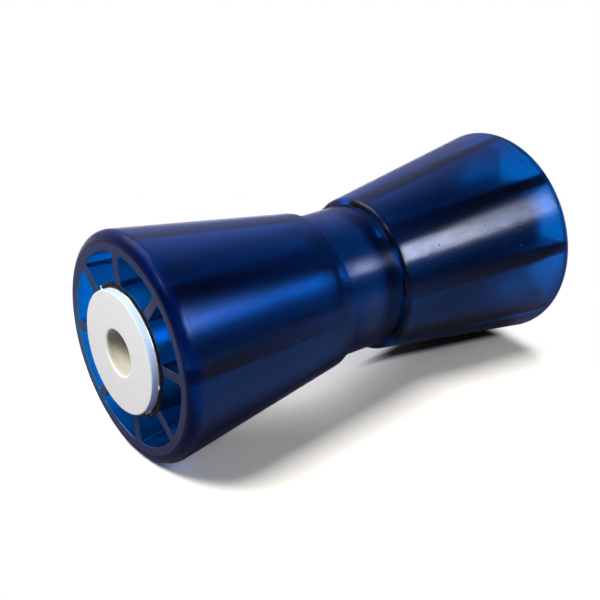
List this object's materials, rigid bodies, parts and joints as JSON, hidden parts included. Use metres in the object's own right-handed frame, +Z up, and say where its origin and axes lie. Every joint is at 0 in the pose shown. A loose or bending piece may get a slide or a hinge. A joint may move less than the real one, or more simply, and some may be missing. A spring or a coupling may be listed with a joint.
{
  "type": "boat trailer keel roller",
  "caption": "Hourglass keel roller in translucent blue, with ribbed hollow ends, a narrow neck and white flanged bushes round a shaft bore.",
  "frame": {"origin": "centre of the lower bush's outer face, on the axle line, where the standing roller rests", "axes": "+Z up along the axle line from the lower bush to the upper bush, +X along one of the eight ribs"},
  "size_m": [0.09, 0.09, 0.2],
  "materials": {
    "blue_polyurethane": "satin, translucent",
    "white_nylon": "matt"
  },
  "bodies": {
    "root": {"roller_body": "blue_polyurethane", "end_bush_lower": "white_nylon", "end_bush_upper": "white_nylon"}
  },
  "joints": []
}
